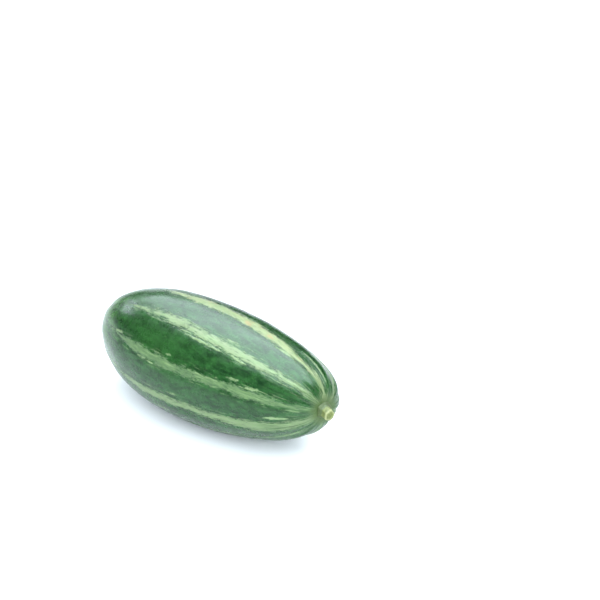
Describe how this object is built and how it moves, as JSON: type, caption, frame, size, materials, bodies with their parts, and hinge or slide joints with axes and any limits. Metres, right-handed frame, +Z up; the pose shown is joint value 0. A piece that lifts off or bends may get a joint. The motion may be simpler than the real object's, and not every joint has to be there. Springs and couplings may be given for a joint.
{
  "type": "pointed gourd",
  "caption": "Whole pointed gourd lying on its side: dark green waxy oblong fruit with ragged pale stripes, a pointed blossom end and a short cut stem stub.",
  "frame": {"origin": "on the ground, below the middle of the whole part's bounding box", "axes": "+X along the fruit from the blossom end to the stem end, +Z up, +Y towards the fuller shoulder of the stem end"},
  "size_m": [0.1016, 0.0424, 0.0414],
  "materials": {
    "rind": "waxy dark green rind with ragged pale yellow-green lengthwise stripes, satin gloss",
    "cut_stem": "pale yellow-green stem tissue, matte and slightly fibrous, with a lighter cut rim"
  },
  "bodies": {
    "root": {"fruit": "rind", "stem_stub": "cut_stem"}
  },
  "joints": []
}
